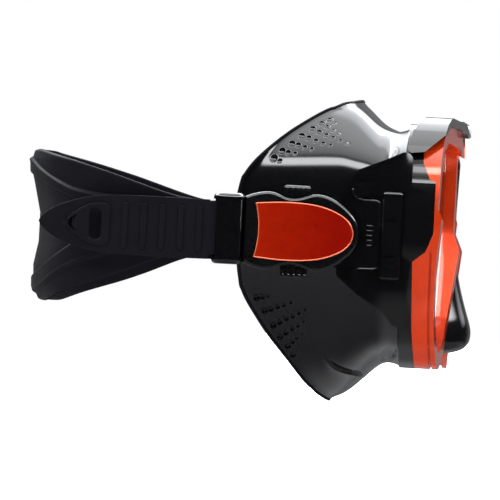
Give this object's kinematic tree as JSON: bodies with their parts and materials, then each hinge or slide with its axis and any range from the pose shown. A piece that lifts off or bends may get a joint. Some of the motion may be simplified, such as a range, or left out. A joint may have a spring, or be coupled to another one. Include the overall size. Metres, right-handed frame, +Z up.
{
  "type": "diving mask",
  "caption": "Twin-lens diving mask with a soft black skirt, metallic orange lens rims, side buckles that tilt and swing, and a wide rubber head strap.",
  "frame": {"origin": "middle of the face opening at the height of the strap buckles, on the plane of symmetry", "axes": "+X forward through the lenses, +Y towards the wearer's left, +Z up"},
  "size_m": [0.1672, 0.1798, 0.1148],
  "materials": {
    "gloss_black": "high gloss",
    "satin_black": "satin",
    "black_silicone": "gloss",
    "black_rubber": "soft sheen",
    "orange_metal": "metallic gloss",
    "orange_plate": "metallic satin",
    "lens_glass": "clear",
    "steel": "bright"
  },
  "bodies": {
    "mask": {"frame": "gloss_black", "skirt": "black_silicone", "bridge_cover": "gloss_black", "lens_right": "lens_glass", "bezel_right": "orange_metal", "scale_plate_right": "gloss_black", "lug_clip_right": "gloss_black", "tilt_pin_right": "steel", "lens_left": "lens_glass", "bezel_left": "orange_metal", "scale_plate_left": "gloss_black", "lug_clip_left": "gloss_black", "tilt_pin_left": "steel"},
    "carrier_body_right": {"carrier_right": "satin_black", "detent_right": "steel", "swivel_pin_right": "steel"},
    "buckle_right": {"housing_right": "satin_black", "cover_right": "orange_plate", "inner_plate_right": "satin_black", "guide_right": "satin_black", "axle_right": "steel", "spring_upper_right": "steel", "spring_lower_right": "steel"},
    "roller_body_right": {"roller_right": "satin_black"},
    "button_up_right": {"button_upper_right": "satin_black"},
    "button_low_right": {"button_lower_right": "satin_black"},
    "pawl_body_right": {"pawl_right": "satin_black"},
    "carrier_body_left": {"carrier_left": "satin_black", "detent_left": "steel", "swivel_pin_left": "steel"},
    "buckle_left": {"housing_left": "satin_black", "cover_left": "orange_plate", "inner_plate_left": "satin_black", "guide_left": "satin_black", "axle_left": "steel", "spring_upper_left": "steel", "spring_lower_left": "steel"},
    "roller_body_left": {"roller_left": "satin_black"},
    "button_up_left": {"button_upper_left": "satin_black"},
    "button_low_left": {"button_lower_left": "satin_black"},
    "pawl_body_left": {"pawl_left": "satin_black"},
    "strap_body": {"strap": "black_rubber"}
  },
  "joints": [
    {"name": "tilt_right", "type": "hinge", "parent": "mask", "child": "carrier_body_right", "pos_m": [0.012, -0.0763, -0.0008], "axis": [0, 1, 0], "range_deg": [-16, 16]},
    {"name": "swivel_right", "type": "hinge", "parent": "carrier_body_right", "child": "buckle_right", "pos_m": [0.012, -0.0834, -0.0008], "axis": [0, 0, 1], "range_deg": [-5, 5]},
    {"name": "roller_turn_right", "type": "hinge", "parent": "buckle_right", "child": "roller_body_right", "pos_m": [-0.026, -0.0832, -0.0008], "axis": [0, 0, 1], "continuous": true},
    {"name": "press_upper_right", "type": "slide", "parent": "buckle_right", "child": "button_up_right", "axis": [0, 0, -1], "range_m": [0, 0.0018], "stiffness_N_per_m": 900, "springref_m": -0.001, "deforming": ["spring_upper_right"]},
    {"name": "press_lower_right", "type": "slide", "parent": "buckle_right", "child": "button_low_right", "axis": [0, 0, 1], "range_m": [0, 0.0018], "stiffness_N_per_m": 900, "springref_m": -0.001, "deforming": ["spring_lower_right"]},
    {"name": "pawl_turn_right", "type": "hinge", "parent": "buckle_right", "child": "pawl_body_right", "pos_m": [-0.011, -0.0831, -0.0008], "axis": [0, 0, -1], "range_deg": [0, 7]},
    {"name": "tilt_left", "type": "hinge", "parent": "mask", "child": "carrier_body_left", "pos_m": [0.012, 0.0763, -0.0008], "axis": [0, 1, 0], "range_deg": [-16, 16]},
    {"name": "swivel_left", "type": "hinge", "parent": "carrier_body_left", "child": "buckle_left", "pos_m": [0.012, 0.0834, -0.0008], "axis": [0, 0, 1], "range_deg": [-5, 5]},
    {"name": "roller_turn_left", "type": "hinge", "parent": "buckle_left", "child": "roller_body_left", "pos_m": [-0.026, 0.0832, -0.0008], "axis": [0, 0, 1], "continuous": true},
    {"name": "press_upper_left", "type": "slide", "parent": "buckle_left", "child": "button_up_left", "axis": [0, 0, -1], "range_m": [0, 0.0018], "stiffness_N_per_m": 900, "springref_m": -0.001, "deforming": ["spring_upper_left"]},
    {"name": "press_lower_left", "type": "slide", "parent": "buckle_left", "child": "button_low_left", "axis": [0, 0, 1], "range_m": [0, 0.0018], "stiffness_N_per_m": 900, "springref_m": -0.001, "deforming": ["spring_lower_left"]},
    {"name": "pawl_turn_left", "type": "hinge", "parent": "buckle_left", "child": "pawl_body_left", "pos_m": [-0.011, 0.0831, -0.0008], "axis": [0, 0, 1], "range_deg": [0, 7]},
    {"name": "strap_yaw", "type": "hinge", "parent": "buckle_right", "child": "strap_body", "pos_m": [-0.026, -0.0832, -0.0008], "axis": [0, 0, 1], "range_deg": [-5, 5]}
  ],
  "couplings": [
    {"joint": "press_lower_right", "follows": "press_upper_right", "ratio": 1},
    {"joint": "pawl_turn_right", "follows": "press_upper_right", "rad_per_m": 67.8},
    {"joint": "press_lower_left", "follows": "press_upper_left", "ratio": 1},
    {"joint": "pawl_turn_left", "follows": "press_upper_left", "rad_per_m": 67.8},
    {"joint": "tilt_left", "follows": "tilt_right", "ratio": 1},
    {"joint": "swivel_left", "follows": "swivel_right", "ratio": 1},
    {"joint": "strap_yaw", "follows": "swivel_right", "ratio": -1}
  ]
}
